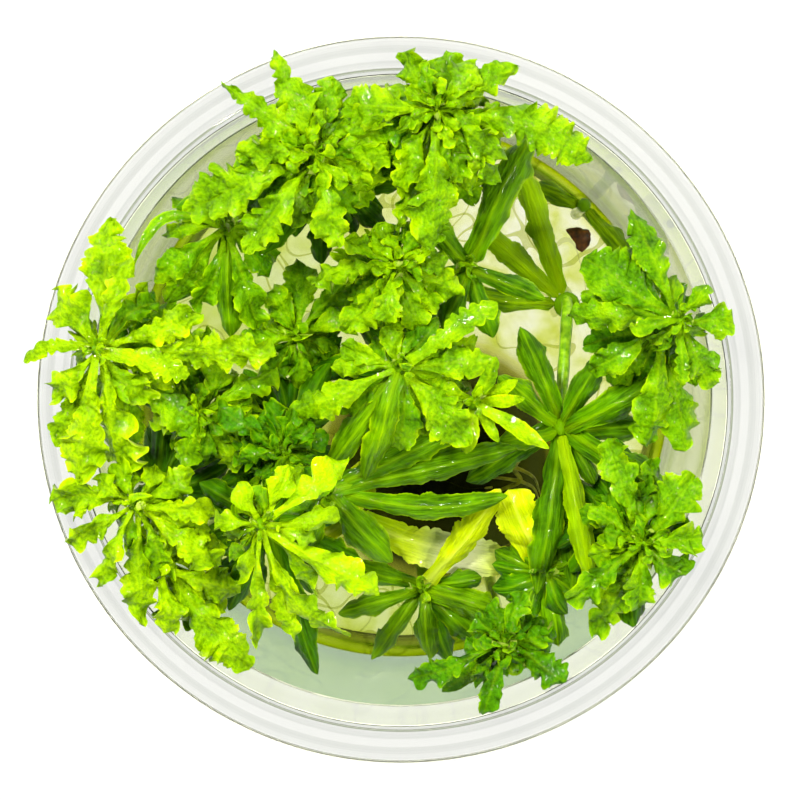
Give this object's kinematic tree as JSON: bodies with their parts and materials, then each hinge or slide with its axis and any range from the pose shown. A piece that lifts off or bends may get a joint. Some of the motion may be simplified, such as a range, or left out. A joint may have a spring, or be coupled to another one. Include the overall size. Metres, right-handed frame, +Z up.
{
  "type": "downoi plants in a clear culture cup",
  "caption": "Crinkle-leaved star-shaped water plants growing on thin stems from pale nutrient gel in a clear round open cup with a flat flanged rim.",
  "frame": {"origin": "centre of the cup's flat base, on the surface that it stands on", "axes": "+Z up out of the cup's open mouth; +X to the right and +Y to the top of the picture, which looks straight down into the cup"},
  "size_m": [0.1011, 0.0994, 0.0654],
  "materials": {
    "clear_cup": "clear gloss",
    "nutrient_gel": "wet translucent gloss",
    "leaf_lime": "wet gloss, crinkled",
    "leaf_bright": "wet gloss, crinkled",
    "leaf_mid": "wet gloss, crinkled",
    "leaf_dark": "wet gloss, smooth",
    "leaf_straw": "wet gloss, smooth",
    "stem": "wet gloss",
    "root": "satin",
    "withered_scrap": "satin"
  },
  "bodies": {
    "root": {"cup": "clear_cup", "gel": "nutrient_gel", "root": "root", "withered_scrap": "withered_scrap", "leaves_centre": "leaf_bright", "leaves_centre_lower": "leaf_dark", "leaves_centre_tip": "leaf_bright", "leaves_crisp": "leaf_dark", "leaves_crisp_lower": "leaf_dark", "leaves_east": "leaf_mid", "leaves_east_centre": "leaf_mid", "leaves_east_centre_lower": "leaf_bright", "leaves_east_lower": "leaf_mid", "leaves_inner_north": "leaf_mid", "leaves_north": "leaf_bright", "leaves_north_centre": "leaf_mid", "leaves_north_inner": "leaf_dark", "leaves_north_lower": "leaf_mid", "leaves_northeast_low": "leaf_mid", "leaves_northwest": "leaf_bright", "leaves_northwest_low": "leaf_mid", "leaves_northwest_lower": "leaf_dark", "leaves_pale": "leaf_straw", "leaves_pale_low": "leaf_straw", "leaves_south": "leaf_dark", "leaves_southeast": "leaf_mid", "leaves_southeast_lower": "leaf_dark", "leaves_southeast_small": "leaf_mid", "leaves_southwest": "leaf_bright", "leaves_southwest_low": "leaf_bright", "leaves_southwest_lower": "leaf_dark", "leaves_straps": "leaf_mid", "leaves_summit": "leaf_lime", "leaves_summit_lower": "leaf_dark", "leaves_west": "leaf_bright", "leaves_west_centre": "leaf_mid", "leaves_west_lower": "leaf_mid", "stem_centre": "stem", "stem_centre_tip": "stem", "stem_crisp": "stem", "stem_east": "stem", "stem_east_centre": "stem", "stem_inner_north": "stem", "stem_north": "stem", "stem_north_centre": "stem", "stem_north_inner": "stem", "stem_northeast_low": "stem", "stem_northwest": "stem", "stem_northwest_low": "stem", "stem_pale": "stem", "stem_pale_low": "stem", "stem_south": "stem", "stem_southeast": "stem", "stem_southeast_small": "stem", "stem_southwest": "stem", "stem_southwest_low": "stem", "stem_straps": "stem", "stem_summit": "stem", "stem_west": "stem", "stem_west_centre": "stem"}
  },
  "joints": []
}
